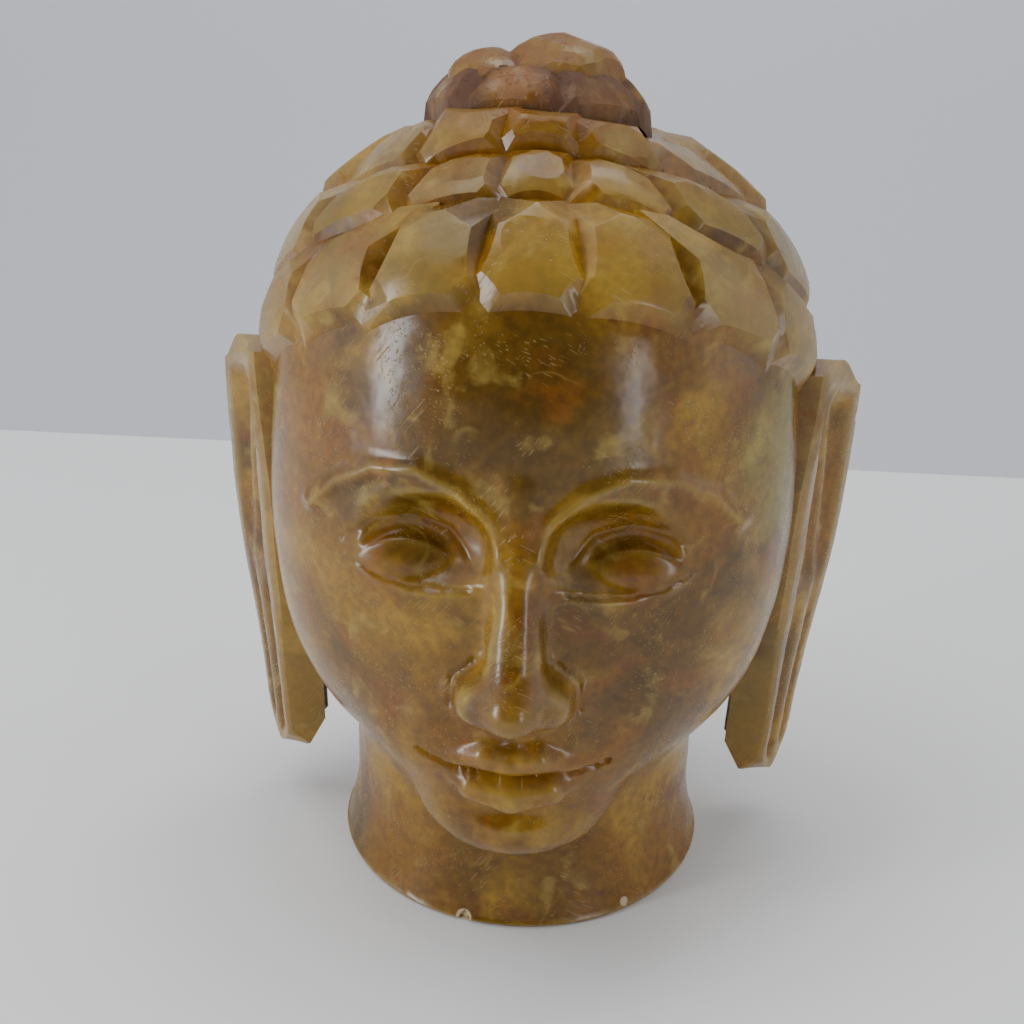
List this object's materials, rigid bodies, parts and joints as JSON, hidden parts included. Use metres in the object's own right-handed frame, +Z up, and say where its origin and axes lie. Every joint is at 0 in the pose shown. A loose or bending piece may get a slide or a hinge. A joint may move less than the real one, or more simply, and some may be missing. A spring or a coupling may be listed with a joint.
{
  "type": "stone buddha head",
  "caption": "Carved stone head with a calm face, long ears, rings of tile-like curls and a topknot, standing on its own short neck.",
  "frame": {"origin": "centre of the neck's flat underside, which the head stands on", "axes": "+Z up through the topknot, -Y the way the face looks, +X the head's own left"},
  "size_m": [0.1212, 0.1103, 0.1499],
  "materials": {
    "polished_stone": "waxed and polished, slightly translucent, olive and ochre mottling with rust patches and thin veins"
  },
  "bodies": {
    "root": {"carved_head": "polished_stone"}
  },
  "joints": []
}
